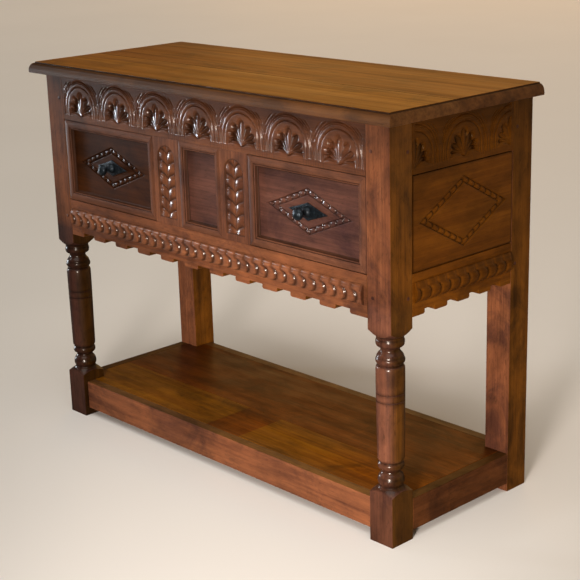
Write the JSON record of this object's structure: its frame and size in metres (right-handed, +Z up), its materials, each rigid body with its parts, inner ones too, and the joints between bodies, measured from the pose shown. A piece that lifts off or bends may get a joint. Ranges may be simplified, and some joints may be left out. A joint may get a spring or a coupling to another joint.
{
  "type": "console table",
  "caption": "Carved Spanish-Colonial console table in dark-stained wood, with drawers on forged-iron knobs, turned front legs, scalloped aprons and a low shelf.",
  "frame": {"origin": "on the floor under the centre of the table's outer box", "axes": "+Z up, +X along the table's length to the right of someone facing its front, front facing -Y"},
  "size_m": [1.2, 0.472, 0.914],
  "materials": {
    "stained_wood": "satin",
    "top_wood": "satin",
    "plain_wood": "matte",
    "iron": "satin"
  },
  "bodies": {
    "case": {"top_board_front": "top_wood", "top_board_back": "top_wood", "shelf_board_front": "top_wood", "shelf_board_back": "top_wood", "leg_front_left": "stained_wood", "leg_front_right": "stained_wood", "leg_back_left": "stained_wood", "leg_back_right": "stained_wood", "frieze_front": "stained_wood", "frieze_left": "stained_wood", "frieze_right": "stained_wood", "back_rail_top": "stained_wood", "back_rail_bottom": "stained_wood", "apron_front": "stained_wood", "apron_left": "stained_wood", "apron_right": "stained_wood", "gadroon_front": "stained_wood", "gadroon_left": "stained_wood", "gadroon_right": "stained_wood", "muntin_left": "stained_wood", "muntin_right": "stained_wood", "centre_panel": "stained_wood", "centre_moulding_top": "stained_wood", "centre_moulding_bottom": "stained_wood", "centre_moulding_left": "stained_wood", "centre_moulding_right": "stained_wood", "side_panel_left": "stained_wood", "side_panel_right": "stained_wood", "stretcher_front": "stained_wood", "stretcher_back": "stained_wood", "stretcher_left": "stained_wood", "stretcher_right": "stained_wood", "back_panel": "plain_wood", "drawer_runner_left": "plain_wood", "drawer_runner_right": "plain_wood", "drawer_runner_centre": "plain_wood"},
    "drawer_left": {"drawer_left_front": "stained_wood", "drawer_left_moulding_top": "stained_wood", "drawer_left_moulding_bottom": "stained_wood", "drawer_left_moulding_left": "stained_wood", "drawer_left_moulding_right": "stained_wood", "drawer_left_side_left": "plain_wood", "drawer_left_side_right": "plain_wood", "drawer_left_back": "plain_wood", "drawer_left_bottom": "plain_wood", "drawer_left_pull_plate": "iron", "drawer_left_pull_knob": "iron", "drawer_left_pull_nut": "iron"},
    "drawer_right": {"drawer_right_front": "stained_wood", "drawer_right_moulding_top": "stained_wood", "drawer_right_moulding_bottom": "stained_wood", "drawer_right_moulding_left": "stained_wood", "drawer_right_moulding_right": "stained_wood", "drawer_right_side_left": "plain_wood", "drawer_right_side_right": "plain_wood", "drawer_right_back": "plain_wood", "drawer_right_bottom": "plain_wood", "drawer_right_pull_plate": "iron", "drawer_right_pull_knob": "iron", "drawer_right_pull_nut": "iron"}
  },
  "joints": [
    {"name": "drawer_left_slide", "type": "slide", "parent": "case", "child": "drawer_left", "axis": [0, -1, 0], "range_m": [0, 0.28]},
    {"name": "drawer_right_slide", "type": "slide", "parent": "case", "child": "drawer_right", "axis": [0, -1, 0], "range_m": [0, 0.28]}
  ]
}
